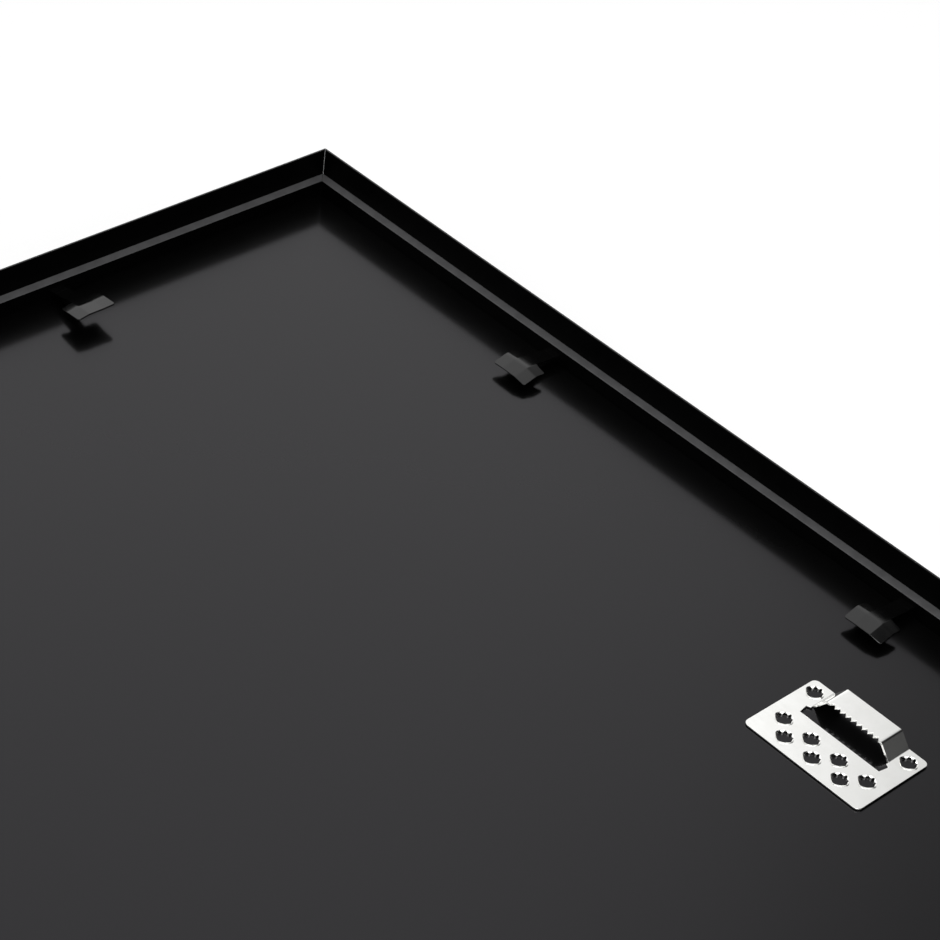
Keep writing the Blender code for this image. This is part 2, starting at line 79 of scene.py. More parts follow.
WALL = 3.9 * MM
OUTER_WALL = 0.9 * MM
CHAMBER_WIDTH = 1.7 * MM
FACE_WIDTH = 10 * MM
LIP = 1.5 * MM
LEDGE_Z = BACK_Z - 10.1 * MM
LEDGE_DROP = 0.45 * MM
LEDGE_WALL = 1.3 * MM
FRONT_ROUNDING = 0.6 * MM
EDGE_ROUNDING = 0.25 * MM
MITRE_GAP = 0.06 * MM
MITRE_SHORTENING = MITRE_GAP / math.sqrt(2)
MITRE_CHAMFER = 0.09 * MM
FACING = 0.5

# The board fills its clearance in the rails, apart from a hair. Glass and spacers have their
# edges rounded where they turn by more than SOFT_ANGLE

BOARD_FIT = 0.35 * MM
BOARD_EDGE = 0.08 * MM
SOFT_EDGE = 0.2 * MM
SOFT_ANGLE = 60.0

# Blades of the bendable tabs. Each shape gives the arm's length and pitch, the nose's pitch, and
# how far the head's two ends are bent down

TAB_SHEET = 0.5 * MM
TAB_EDGE = 0.07 * MM
TAB_CORNER = 0.9 * MM
TAB_CREASE = 0.4 * MM
TAB_ELBOW = 0.9 * MM
TAB_ELBOW_STEPS = 6
TAB_ARM_WIDTH = 5.5 * MM
TAB_NOSE_LENGTH = 5.9 * MM
TAB_HEAD_WIDTH = 14.8 * MM
TAB_HEAD_LENGTH = 10.0 * MM
TAB_DOWN = (14.7 * MM, 6.0, -14.0, (4.0, 12.5))
TAB_RAISED = (16.4 * MM, 11.0, 5.0, (9.0, -3.0))
RAISED_TABS = ("left_blade_1",)

# Feet of the tabs, hooked into the rail's chamber, and the strip curved round the hinge

HINGE_INSET = 1.0 * MM
HOOK_HEIGHT = 4.0 * MM
HOOK_CORNER = 0.5 * MM
HOOK_CORNER_MIDDLE = 0.15 * MM
BEND_BEFORE = 0.75 * MM
BEND_AFTER = 1.1 * MM
BEND_STEPS = 12
BEND_SHARP_ANGLE = 35.0

# Plate of the sawtooth hanger, and the window that its bar was lanced from

PLATE_SHEET = 0.5 * MM
PLATE_Z = BOARD_TOP + 0.25 * MM
PLATE_LENGTH = HANGER_HIGH.x - HANGER_LOW.x
PLATE_WIDTH = HANGER_HIGH.y - HANGER_LOW.y
PLATE_TOP_Y = HANGER_HIGH.y
PLATE_CORNER = 1.8 * MM
PLATE_EDGE = 0.11 * MM
PLATE_SHARP_ANGLE = 15.0
BAR_TOP_LENGTH = 21 * MM
BAR_LEG_RUN = 4.0 * MM
BAR_WIDTH = 9.2 * MM
BAR_ROOT = BAR_TOP_LENGTH / 2 + BAR_LEG_RUN
WINDOW_DEPTH = 14.4 * MM
WINDOW_HALF = BAR_ROOT + 0.7 * MM
WINDOW_SHOULDER = 1.2 * MM
WINDOW_FLARE = 0.6 * MM

# The raised bar: it laps the plate by a hair, has a short flat foot at each root, and turns there
# and at its top. A row of points along it keeps the teeth's faces short

BAR_RISE = 4.55 * MM
BAR_LAP = 0.01 * MM
BAR_FOOT = 0.3 * MM
BAR_FOOT_TURN = 0.29 * MM
BAR_TOP_TURN = 0.45 * MM
BAR_TURN_STEPS = 5
BAR_ROW = 0.7
BAR_EDGE = 0.06 * MM
BAR_EDGE_ANGLE = 50.0
TOOTH_PITCH = 2.1 * MM
TOOTH_DEPTH = 1.2 * MM
TOOTH_COUNT = 9
TOOTH_SLANT = 0.18 * MM

# Claws: two rows below the window, each a count and a height above the plate's lower edge, and
# one claw in each ear

CLAW_PITCH = 10.7 * MM
CLAW_ROWS = ((4, 10.9 * MM), (3, 5.2 * MM))
EAR_CLAW_DOWN = 4.8 * MM
EAR_LENGTH = 8.1 * MM
CLAW_RADIUS = 3.0 * MM
CLAW_SQUARENESS = 1.5
CLAW_RIM_POINTS = 48

# Prongs of a claw: the bend from the kink at the rim to the slope, then the fall to the tip.
# Widths are shares of a prong's sector, and falls are shares of its depth below the plate

PRONG_COUNT = 8
PRONG_TURN = 12.0
PRONG_KINK = 12.0
PRONG_SLOPE = 80.0
PRONG_BEND = 0.45 * MM
PRONG_DEPTH = 1.4 * MM
PRONG_SHEET = 0.25 * MM
PRONG_WIDTHS = (1.0, 0.86, 0.58, 0.42, 0.34, 0.29, 0.26)
PRONG_FALLS = (0.2, 0.4, 0.7, 1.0)
PRONG_TIP_WIDTH = 0.03
PRONG_COLUMNS = (-1.0, -0.6, -0.2, 0.2, 0.6, 1.0)

# What gloss sees of the room, which is dark on one side: its level by the cosine of a direction's
# turn from the dark side, and by its height. ROOM_LIGHT is the room's level as light

ROOM_LIGHT = 0.58
ROOM_LEVEL = 1.26
ROOM_DARK_TURN = 65.0
ROOM_BY_TURN = (
    (0.38, 1.0), (0.50, 0.89), (0.58, 0.57), (0.65, 0.40), (0.71, 0.33), (0.80, 0.14),
    (0.88, 0.07), (0.94, 0.048), (0.98, 0.005),
)
ROOM_BY_HEIGHT = (
    (0.0, 0.90), (0.56, 0.90), (0.61, 1.0), (0.73, 1.0), (0.77, 0.96), (1.0, 0.92),
)

# The floor: how far it goes out, how far it reaches in under the frame, and its own glow

FLOOR_REACH = 4.0
FLOOR_LAP = 1.0 * MM
FLOOR_GLOW = 0.26

# The lamp, turned to the middle of the frame

LAMP_PLACE = Vector((0.5, -0.2, 1.9))
LAMP_SIZE = 1.6
LAMP_POWER = 22.0

# Camera at the photograph's viewing angle: place, and the directions of its right and view axes

CAMERA_PLACE = Vector((0.3169, -0.3451, 0.5667))
CAMERA_RIGHT = Vector((0.6704, 0.7341, 0.1078))
CAMERA_VIEW = Vector((-0.5374, 0.5805, -0.6118))
CAMERA_SENSOR = 36.0
CAMERA_LENS = 106.06
CAMERA_NEAR = 0.01

# Fineness and tolerances of meshes

ARC_STEPS = 4
SHARP_ANGLE = 50.0
WELD = 1e-6
CUT_TOLERANCE = 1e-7

# Noise stays mostly between these values

NOISE_LOW = 0.3
NOISE_HIGH = 0.7


# Node materials


class Shader:
    """A Principled material and short ways to wire its nodes."""

    def __init__(self, name, color, roughness, metallic=0.0, **sockets):
        self.material = bpy.data.materials.new(name)
        self.material.use_nodes = True
        self.tree = self.material.node_tree
        self.main = self.tree.nodes["Principled BSDF"]
        self.set("Base Color", (*color, 1.0))
        self.set("Roughness", roughness)
        self.set("Metallic", metallic)
        for socket, value in sockets.items():
            self.set(socket.replace("_", " "), value)
        self.place = self.node("ShaderNodeTexCoord").outputs["Object"]

    def set(self, socket, value):
        self.main.inputs[socket].default_value = value

    def node(self, kind, **settings):
        made = self.tree.nodes.new(kind)
        for name, value in settings.items():
            setattr(made, name, value)
        return made

    def link(self, source, target):
        self.tree.links.new(source, target)

    def feed(self, socket, source):
        """Let a node's output set one of the shader's sockets."""
        self.link(source, self.main.inputs[socket])

    def noise(self, scale, detail=2.0, roughness=0.5, stretch=None):
        """Noise in object space, its scale given in grains for each metre."""
        made = self.node("ShaderNodeTexNoise")
        made.inputs["Scale"].default_value = scale
        made.inputs["Detail"].default_value = detail
        made.inputs["Roughness"].default_value = roughness
        source = self.place
        if stretch is not None:
            mapping = self.node("ShaderNodeMapping")
            mapping.inputs["Scale"].default_value = stretch
            self.link(source, mapping.inputs["Vector"])
            source = mapping.outputs["Vector"]
        self.link(source, made.inputs["Vector"])
        return made.outputs["Fac"]

    def ranged(self, source, low, high):
        """Noise carried into another range."""
        made = self.node("ShaderNodeMapRange")
        made.inputs["From Min"].default_value = NOISE_LOW
        made.inputs["From Max"].default_value = NOISE_HIGH
        made.inputs["To Min"].default_value = low
        made.inputs["To Max"].default_value = high
        self.link(source, made.inputs["Value"])
        return made.outputs["Result"]

    def tones(self, source, *stops):
        """Colours along a value, each stop a (place, colour) pair."""
        made = self.node("ShaderNodeValToRGB")
        ramp = made.color_ramp
        while len(ramp.elements) < len(stops):
            ramp.elements.new(0.5)
        for element, (place, color) in zip(ramp.elements, stops):
            element.position = place
            element.color = (*color, 1.0)
        self.link(source, made.inputs["Fac"])
        return made.outputs["Color"]

    def bump(self, source, strength, depth):
        """Relief from a height, its depth in metres."""
        made = self.node("ShaderNodeBump")
        made.inputs["Strength"].default_value = strength
        made.inputs["Distance"].default_value = depth
        self.link(source, made.inputs["Height"])
        self.feed("Normal", made.outputs["Normal"])


def grey(level):
    return (level, level, level)


def black_paint(name, base, level, low, high):
    """Black coating: its base grey, its specular level and the range of its roughness."""
    paint = Shader(name, grey(base), low, IOR=1.5, Specular_IOR_Level=level)
    mottle = paint.noise(260, detail=4.0)
    dark = (0.92 * base, 0.92 * base, 0.94 * base)
    pale = (1.12 * base, 1.12 * base, 1.15 * base)
    paint.feed("Roughness", paint.ranged(mottle, low, high))
    paint.feed("Base Color", paint.tones(mottle, (0.35, dark), (0.7, pale)))
    paint.bump(paint.noise(1500, detail=1.0), 0.05, 0.02 * MM)
    return paint.material


def board_lacquer():
    """Black lacquered hardboard, which mirrors the rails sharply and with a soft haze."""
    board = Shader("board_lacquer", grey(0.0004), 0.14, IOR=1.5, Specular_IOR_Level=0.24)
    board.set("Specular Tint", (0.94, 0.91, 1.0, 1.0))
    board.set("Coat Weight", 0.18)
    board.set("Coat Roughness", 0.34)
    board.set("Coat IOR", 1.5)
    mottle = board.noise(60, detail=5.0, roughness=0.6)
    board.feed("Roughness", board.ranged(mottle, 0.125, 0.155))
    board.feed("Base Color", board.tones(mottle, (0.3, grey(0.0003)), (0.75, grey(0.0006))))
    return board.material


def bright_nickel():
    """Nickel plated sheet steel, slightly wavy from the rolls, with faint clouding."""
    nickel = Shader("bright_nickel", (0.95, 0.95, 0.93), 0.15, metallic=1.0)
    cloud = nickel.noise(180, detail=3.0)
    grain = nickel.noise(900, detail=2.0, stretch=(0.15, 1.0, 1.0))
    tone = nickel.tones(cloud, (0.3, (0.93, 0.93, 0.905)), (0.7, (0.98, 0.98, 0.96)))
    nickel.feed("Base Color", tone)
    nickel.feed("Roughness", nickel.ranged(grain, 0.10, 0.18))
    nickel.bump(nickel.noise(420, detail=2.0), 0.08, 0.02 * MM)
    return nickel.material


def bare_metal():
    """Sawn aluminium at the mitres."""
    metal = Shader("bare_aluminium", grey(0.34), 0.38, metallic=1.0)
    saw = metal.noise(2500, detail=1.0, stretch=(1.0, 1.0, 0.2))
    metal.feed("Roughness", metal.ranged(saw, 0.32, 0.50))
    metal.feed("Base Color", metal.tones(saw, (0.3, grey(0.28)), (0.7, grey(0.40))))
    return metal.material


def zinc_plate():
    """Dull zinc of the corner keys."""
    zinc = Shader("zinc_plate", (0.45, 0.45, 0.46), 0.42, metallic=1.0)
    spangle = zinc.noise(350, detail=2.0)
    tone = zinc.tones(spangle, (0.35, (0.38, 0.38, 0.40)), (0.65, (0.50, 0.50, 0.51)))
    zinc.feed("Base Color", tone)
    zinc.feed("Roughness", zinc.ranged(spangle, 0.34, 0.52))
    return zinc.material


def float_glass():
    """Clear glass with the faint waviness of a float sheet."""
    glass = Shader("float_glass", (0.97, 0.99, 0.98), 0.02, IOR=1.5, Transmission_Weight=1.0)
    glass.bump(glass.noise(14, detail=0.0), 0.03, 0.05 * MM)
    return glass.material


def white_board(name, fibre_scale, tone_low, tone_high):
    """White coated board or card with fine fibres."""
    board = Shader(name, tone_high, 0.72)
    fibre = board.noise(fibre_scale, detail=4.0, roughness=0.65, stretch=(1.0, 0.4, 1.0))
    board.feed("Base Color", board.tones(fibre, (0.3, tone_low), (0.7, tone_high)))
    board.feed("Roughness", board.ranged(fibre, 0.64, 0.80))
    board.bump(fibre, 0.10, 0.03 * MM)
    return board.material


PAINT = black_paint("satin_black_paint", base=0.0030, level=0.4, low=0.20, high=0.28)
# Painted shade: a darker, duller copy of the satin paint, for the shaded inward walls of the recess
INSIDE_PAINTED_SHADE = black_paint("inside_painted_shade", base=0.0004, level=0.05, low=0.36, high=0.46)
# Painted highlight: a much paler copy of the black paint, for the up-facing ledge where light falls
LEDGE_PAINTED_HIGHLIGHT = black_paint("ledge_painted_highlight", base=0.0650, level=0.60, low=0.34, high=0.42)
TAB_PAINT = black_paint("tab_black_oxide", base=0.0012, level=0.50, low=0.10, high=0.16)
BOARD = board_lacquer()
NICKEL = bright_nickel()
BARE = bare_metal()
ZINC = zinc_plate()
GLASS = float_glass()
SPACER = white_board("spacer_board", 700, (0.72, 0.71, 0.68), (0.80, 0.79, 0.76))
CARD = white_board("display_card", 1100, (0.77, 0.76, 0.73), (0.82, 0.81, 0.78))


# Mesh tools


def new_object(name, data, *materials):
    """A scene object for a mesh or other data, with its materials."""
    for material in materials:
        data.materials.append(material)
    made = bpy.data.objects.new(name, data)
    bpy.context.scene.collection.objects.link(made)
    return made


def smooth(mesh, sharp):
    """Smooth shading, except across edges that turn by more than the sharp angle."""
    mesh.polygons.foreach_set("use_smooth", [True] * len(mesh.polygons))
    mesh.set_sharp_from_angle(angle=math.radians(sharp))


def finish_piece(piece, body, slot, *nodes, sharp=SHARP_ANGLE):
    """Smooth the piece with flat faces kept flat, and say what it rides on and stands for."""
    smooth(piece.data, sharp)
    piece.modifiers.new("Flat faces", "WEIGHTED_NORMAL").keep_sharp = True
    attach(piece, body)
    if nodes:
        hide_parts(*nodes)


def settled(guide):
    """The mesh of a guide object with its modifiers applied. The guide itself is removed."""
    bpy.context.view_layer.update()
    evaluated = guide.evaluated_get(bpy.context.evaluated_depsgraph_get())
    mesh = bpy.data.meshes.new_from_object(evaluated)
    bpy.data.objects.remove(guide, do_unlink=True)
    return mesh


def written(shape, mesh):
    """The mesh with an edited shape written into it. The shape is freed."""
    shape.to_mesh(mesh)
    shape.free()
    return mesh


def outline_mesh(name, loops, thickness, edge):
    """A flat outline with holes, centred on its plane, its long edges rounded."""
    curve = bpy.data.curves.new(name, "CURVE")
    curve.dimensions = "2D"
    curve.fill_mode = "BOTH"
    curve.extrude = thickness / 2 - edge
    curve.bevel_depth = edge
    curve.bevel_resolution = 1
    curve.offset = -edge
    for loop in loops:
        spline = curve.splines.new("POLY")
        spline.points.add(len(loop) - 1)
        for point, (x, y) in zip(spline.points, loop):
            point.co = (x, y, 0.0, 1.0)
        spline.use_cyclic_u = True
    mesh = settled(new_object(name, curve))
    shape = bmesh.new()
    shape.from_mesh(mesh)
    bmesh.ops.remove_doubles(shape, verts=shape.verts, dist=WELD)
    bmesh.ops.recalc_face_normals(shape, faces=shape.faces)
    return written(shape, mesh)


def close_rings(shape, rings):
    """Faces between neighbouring rings of points and over both ends, all facing out."""
    for one, two in zip(rings, rings[1:]):
        for corner in range(len(one)):
            after = (corner + 1) % len(one)
            shape.faces.new((one[corner], one[after], two[after], two[corner]))
    shape.faces.new(rings[0][::-1])
    shape.faces.new(rings[-1])
    bmesh.ops.recalc_face_normals(shape, faces=shape.faces)


def rounded(corners):
    """Replace each (x, y, radius) corner with an arc of its radius."""
    points = []
    for index, (x, y, radius) in enumerate(corners):
        here = Vector((x, y))
        if radius <= 0:
            points.append((x, y))
            continue
        before = Vector(corners[index - 1][:2]) - here
        after = Vector(corners[(index + 1) % len(corners)][:2]) - here
        half_angle = before.angle(after) / 2
        start = here + before.normalized() * radius / math.tan(half_angle)
        end = here + after.normalized() * radius / math.tan(half_angle)
        bisector = (before.normalized() + after.normalized()).normalized()
        centre = here + bisector * radius / math.sin(half_angle)
        for step in range(ARC_STEPS + 1):
            spoke = (start - centre).lerp(end - centre, step / ARC_STEPS)
            points.append(tuple(centre + spoke.normalized() * radius))
    return points


def turned(first, corner, last, steps):
    """Points of a smooth turn from the first point to the last, drawn towards a corner."""
    shares = [step / steps for step in range(steps + 1)]
    return [first.lerp(corner, t).lerp(corner.lerp(last, t), t) for t in shares]


def heading(path, index):
    """Direction of a path at one of its points."""
    before = path[max(index - 1, 0)]
    after = path[min(index + 1, len(path) - 1)]
    return (after - before).normalized()


# Rails


def rail_section():
    """The hollow section of a rail as (inward, height) loops."""
    drop = LEDGE_Z - LEDGE_DROP
    outer = rounded([
        (0.0, 0.0, FRONT_ROUNDING), (FACE_WIDTH, 0.0, FRONT_ROUNDING),
        (FACE_WIDTH, LIP, EDGE_ROUNDING), (WALL, LIP, 0.0),
        (WALL, drop, EDGE_ROUNDING), (OUTER_WALL, LEDGE_Z, 0.0),
        (OUTER_WALL, BACK_Z, EDGE_ROUNDING), (0.0, BACK_Z, EDGE_ROUNDING),
    ])
    top = drop - LEDGE_WALL
    far = OUTER_WALL + CHAMBER_WIDTH
    return [outer, [(OUTER_WALL, LIP), (far, LIP), (far, top), (OUTER_WALL, top)]]


def rail_mesh(name, length):
    """A rail along X whose mitred ends have a small bare chamfer."""
    # The section's (inward, height, depth) become the rail's Y, Z and X
    mesh = outline_mesh(name, rail_section(), length, MITRE_CHAMFER)
    mesh.transform(Matrix(((0, 0, 1, 0), (1, 0, 0, 0), (0, 1, 0, 0), (0, 0, 0, 1))))
    for vertex in mesh.vertices:
        side = math.copysign(1.0, vertex.co.x)
        vertex.co.x -= side * (vertex.co.y + MITRE_SHORTENING)
    return mesh


RAIL_PLACES = {
    "top": (2 * HALF_WIDTH, (0.0, HALF_HEIGHT), 180.0),
    "bottom": (2 * HALF_WIDTH, (0.0, -HALF_HEIGHT), 0.0),
    "left": (2 * HALF_HEIGHT, (-HALF_WIDTH, 0.0), -90.0),
    "right": (2 * HALF_HEIGHT, (HALF_WIDTH, 0.0), 90.0),
}
# Rail faces take the paint, bare metal, or copies of the paint that carry painted shade and a
# painted highlight
RAIL_FINISHES_AND_PAINTED_LIGHT = (PAINT, BARE, INSIDE_PAINTED_SHADE, LEDGE_PAINTED_HIGHLIGHT)


def rail_finish_or_painted_light(centre, normal, reach):
    """The finish of a face of a rail along X, by its middle and normal; inward walls get painted
    shade and the up-facing ledge a painted highlight.
    """
    above_ledge = centre.z > LEDGE_Z - 2 * LEDGE_DROP
    if above_ledge and abs(centre.x) + centre.y > reach - MITRE_CHAMFER:
        return BARE
    if centre.y > OUTER_WALL - EDGE_ROUNDING and centre.z > LIP:
        on_ledge = above_ledge and centre.z < LEDGE_Z + EDGE_ROUNDING
        # Painted highlight on the up-facing ledge
        if on_ledge and normal.z > FACING:
            return LEDGE_PAINTED_HIGHLIGHT
        # Painted shade on the inward-facing walls
        if normal.y > FACING:
            return INSIDE_PAINTED_SHADE
    return PAINT


def build_rails():
    """Four painted rails, bare metal at their mitres, with painted shade on their inward walls and
    a painted highlight on their ledge.
    """
    for side, (length, (x, y), degrees) in RAIL_PLACES.items():
        name = side + "_rail_skin"
        rail = new_object(name, rail_mesh(name, length), *RAIL_FINISHES_AND_PAINTED_LIGHT)
        reach = length / 2 - MITRE_SHORTENING
        for face in rail.data.polygons:
            finish_or_painted_light = rail_finish_or_painted_light(face.center, face.normal, reach)
            face.material_index = RAIL_FINISHES_AND_PAINTED_LIGHT.index(finish_or_painted_light)
        turn = Matrix.Rotation(math.radians(degrees), 4, "Z")
        rail.matrix_world = Matrix.Translation((x, y, 0.0)) @ turn
        finish_piece(rail, "root", "black_rail", side + "_rail")


# Board, glass, spacers and keys


def soften(node):
    """Round the edges of a model solid."""
    bevel = frame["nodes"][node].modifiers.new("Edges", "BEVEL")
    bevel.width = SOFT_EDGE
    bevel.segments = 2
    bevel.limit_method = "ANGLE"
    bevel.angle_limit = math.radians(SOFT_ANGLE)


def paint_node(node, material):
    """Give a model solid a scene material."""
    slots = frame["nodes"][node].data.materials
    slots.clear()
    slots.append(material)


def board_mesh(name):
    """The backing board, with its edges rounded."""
    shape = bmesh.new()
    bmesh.ops.create_cube(shape, size=1.0)
    grow = Vector((2 * BOARD_FIT, 2 * BOARD_FIT, 0.0))
    bmesh.ops.scale(shape, vec=BOARD_HIGH - BOARD_LOW + grow, verts=shape.verts)
    bmesh.ops.translate(shape, vec=(BOARD_LOW + BOARD_HIGH) / 2, verts=shape.verts)
    bmesh.ops.bevel(shape, geom=shape.edges[:], offset=BOARD_EDGE, segments=2, affect="EDGES")
    return written(shape, bpy.data.meshes.new(name))


def build_stack():
    """The board under the hanger, and what lies in front of it."""
    board = new_object("board_panel", board_mesh("board_panel"), BOARD)
    finish_piece(board, "root", "dark_board", "backing_board")
    for side in RAIL_PLACES:
        paint_node(side + "_spacer", SPACER)
        soften(side + "_spacer")
    paint_node("display_card", CARD)
    paint_node("front_glass", GLASS)
    soften("front_glass")
    for corner in ("top_left", "top_right", "bottom_left", "bottom_right"):
        paint_node("corner_key_" + corner, ZINC)


# Bendable tabs, built in side view: Y inward from the hinge and Z up


def direction(degrees):
    """Unit vector in a tab's side view, by its pitch."""
    return Vector((0.0, math.cos(math.radians(degrees)), math.sin(math.radians(degrees))))


def tab_path(arm_length, arm_pitch, nose_pitch):
    """The blade's middle line from the bend to the nose's front edge, curved at the elbow."""
    arm = direction(arm_pitch)
    nose = direction(nose_pitch)
    elbow = arm * arm_length
    curve = turned(elbow - arm * TAB_ELBOW, elbow, elbow + nose * TAB_ELBOW, TAB_ELBOW_STEPS)
    return [arm * BEND_AFTER, *curve, elbow + nose * TAB_NOSE_LENGTH]


def path_length(path):
    return sum((end - start).length for start, end in zip(path, path[1:]))


def along_path(path, distance):
    """Point and upward normal of a path in the side view, at a distance from its start."""
    for start, end in zip(path, path[1:]):
        step = (end - start).length
        if distance <= step or end is path[-1]:
            ahead = (end - start).normalized()
            return start + ahead * distance, Vector((0.0, -ahead.z, ahead.y))
        distance -= step


def blade_outline(total):
    """A blade of a total length laid flat: its arm and its wide head, with rounded corners."""
    neck = total - TAB_HEAD_LENGTH
    half_arm = TAB_ARM_WIDTH / 2
    inner = TAB_HEAD_WIDTH / 2 - TAB_CORNER
    turns = [math.radians(90 * step / ARC_STEPS) for step in range(ARC_STEPS + 1)]
    arc = [(TAB_CORNER * math.sin(turn), TAB_CORNER * math.cos(turn)) for turn in turns]
    right = [(half_arm, 0.0), (half_arm, neck)]
    right += [(inner + sine, neck + TAB_CORNER - cosine) for sine, cosine in arc]
    right += [(inner + cosine, total - TAB_CORNER + sine) for sine, cosine in arc]
    return right + [(-x, y) for x, y in reversed(right)]


def blade_mesh(name, path, end_bends):
    """A tab's arm and wide head along a path, with two creases and an elbow across the head."""
    half_arm = TAB_ARM_WIDTH / 2
    mesh = outline_mesh(name, [blade_outline(path_length(path))], TAB_SHEET, TAB_EDGE)
    shape = bmesh.new()
    shape.from_mesh(mesh)
    creases = (-half_arm - TAB_CREASE, -half_arm, half_arm, half_arm + TAB_CREASE)
    cuts = [((x, 0, 0), (1, 0, 0)) for x in creases]
    stations = [path_length(path[:count]) for count in range(2, len(path))]
    cuts += [((0, y, 0), (0, 1, 0)) for y in stations]
    for place, normal in cuts:
        bmesh.ops.bisect_plane(
            shape, geom=shape.verts[:] + shape.edges[:] + shape.faces[:],
            plane_co=place, plane_no=normal, dist=CUT_TOLERANCE,
        )
    right_fall, left_fall = [math.tan(math.radians(degrees)) for degrees in end_bends]
    for vertex in shape.verts:
        x, y, z = vertex.co
        point, normal = along_path(path, y)
        beyond = max(0.0, abs(x) - half_arm - TAB_CREASE / 2)
        fall = left_fall if x < 0 else right_fall
        vertex.co = point + normal * (z - fall * beyond) + Vector((x, 0, 0))
    bmesh.ops.recalc_face_normals(shape, faces=shape.faces)
    return written(shape, mesh)


def strip_mesh(name, path):
    """A strip of the arm's width and thickness along a path in the side view."""
    shape = bmesh.new()
    rings = []
    side = Vector((TAB_ARM_WIDTH / 2, 0, 0))
    for index, point in enumerate(path):
        ahead = heading(path, index)
        up = Vector((0.0, -ahead.z, ahead.y)) * TAB_SHEET / 2
        ring = (point - side - up, point + side - up, point + side + up, point - side + up)
        rings.append([shape.verts.new(corner) for corner in ring])
    close_rings(shape, rings)
    return written(shape, bpy.data.meshes.new(name))


def foot_path():
    """A foot's middle line: up in the rail's chamber, round a corner and out to the bend."""
    hook = OUTER_WALL + CHAMBER_WIDTH / 2 - WALL - HINGE_INSET
    return [
        Vector((0.0, hook, -HOOK_HEIGHT)),
        Vector((0.0, hook, -HOOK_CORNER)),
        Vector((0.0, hook + HOOK_CORNER_MIDDLE, -HOOK_CORNER_MIDDLE)),
        Vector((0.0, hook + HOOK_CORNER, 0.0)),
        Vector((0.0, -BEND_BEFORE, 0.0)),
    ]


def build_tab(joint):
    """A tab's blade, its foot in the rail, and the strip between them, curved round the hinge."""
    body = joint["child"]
    side, _, number = body.split("_")
    axis = Vector(joint["axis"])
    turn = math.atan2(axis.y, axis.x)
    place = Matrix.Translation(Vector(joint["pos_m"])) @ Matrix.Rotation(turn, 4, "Z")
    *side_view, end_bends = TAB_RAISED if body in RAISED_TABS else TAB_DOWN

    path = tab_path(*side_view)
    name = body + "_sheet"
    blade = new_object(name, blade_mesh(name, path, end_bends), TAB_PAINT)
    blade.matrix_world = place
    finish_piece(blade, body, "black_tab", side + "_tab_" + number)

    name = body + "_foot"
    foot = new_object(name, strip_mesh(name, foot_path()), TAB_PAINT)
    foot.matrix_world = place
    finish_piece(foot, "root", "black_tab", side + "_tab_foot_" + number)

    name = body + "_bend"
    start = Vector((0.0, -BEND_BEFORE, 0.0))
    end = path[0]
    bend_path = turned(start, Vector((0.0, 0.0, 0.0)), end, BEND_STEPS)
    bend = new_object(name, strip_mesh(name, bend_path), TAB_PAINT)
    smooth(bend.data, BEND_SHARP_ANGLE)
    bend.matrix_world = place
    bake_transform(bend)


# Sawtooth hanger, built from the middle of its plate's top edge


def claw_places():
    """Middles of the claws."""
    ear = (PLATE_LENGTH - EAR_LENGTH) / 2
    places = [(-ear, -EAR_CLAW_DOWN), (ear, -EAR_CLAW_DOWN)]
    for count, up in CLAW_ROWS:
        first = -(count - 1) / 2
        places += [((first + n) * CLAW_PITCH, up - PLATE_WIDTH) for n in range(count)]
    return places


def claw_rim(turn):
    """A claw hole's radius in a direction: a circle drawn out a little to four corners."""
    power = CLAW_SQUARENESS
    spread = abs(math.cos(turn)) ** power + abs(math.sin(turn)) ** power
    return CLAW_RADIUS * spread ** (-1 / power)


def claw_hole(x, y):
    """Points of a claw's hole in the plate."""
    turns = [2 * math.pi * step / CLAW_RIM_POINTS for step in range(CLAW_RIM_POINTS)]
    spokes = [(claw_rim(turn), turn) for turn in turns]
    return [(x + far * math.cos(turn), y + far * math.sin(turn)) for far, turn in spokes]


def plate_outline():
    """The hanger's plate, with the window that its bar was lanced from."""
    half = PLATE_LENGTH / 2
    shoulder = -BAR_WIDTH - WINDOW_SHOULDER
    flare = shoulder - WINDOW_FLARE
    right = [
        (half, -PLATE_WIDTH, PLATE_CORNER), (half, 0.0, PLATE_CORNER),
        (BAR_ROOT, 0.0, 0.0), (BAR_ROOT, shoulder, 0.0),
        (WINDOW_HALF + WINDOW_FLARE, flare, 0.0), (WINDOW_HALF, -WINDOW_DEPTH, 0.0),
    ]
    left = [(-x, y, radius) for x, y, radius in reversed(right)]
    return rounded(right + left)


def bar_profile():
    """The bar's middle line seen from the front, with rounded bends, from root to root."""
    low = PLATE_SHEET / 2
    top = low + BAR_RISE
    corners = [
        Vector((-BAR_ROOT - BAR_LAP, 0, low)), Vector((-BAR_ROOT + BAR_FOOT, 0, low)),
        Vector((-BAR_TOP_LENGTH / 2, 0, top)), Vector((BAR_TOP_LENGTH / 2, 0, top)),
        Vector((BAR_ROOT - BAR_FOOT, 0, low)), Vector((BAR_ROOT + BAR_LAP, 0, low)),
    ]
    reaches = (BAR_FOOT_TURN, BAR_TOP_TURN, BAR_TOP_TURN, BAR_FOOT_TURN)
    points = [corners[0]]
    for before, corner, after, reach in zip(corners, corners[1:], corners[2:], reaches):
        first = corner + (before - corner).normalized() * reach
        last = corner + (after - corner).normalized() * reach
        points += turned(first, corner, last, BAR_TURN_STEPS)
    points.append(corners[-1])
    return points


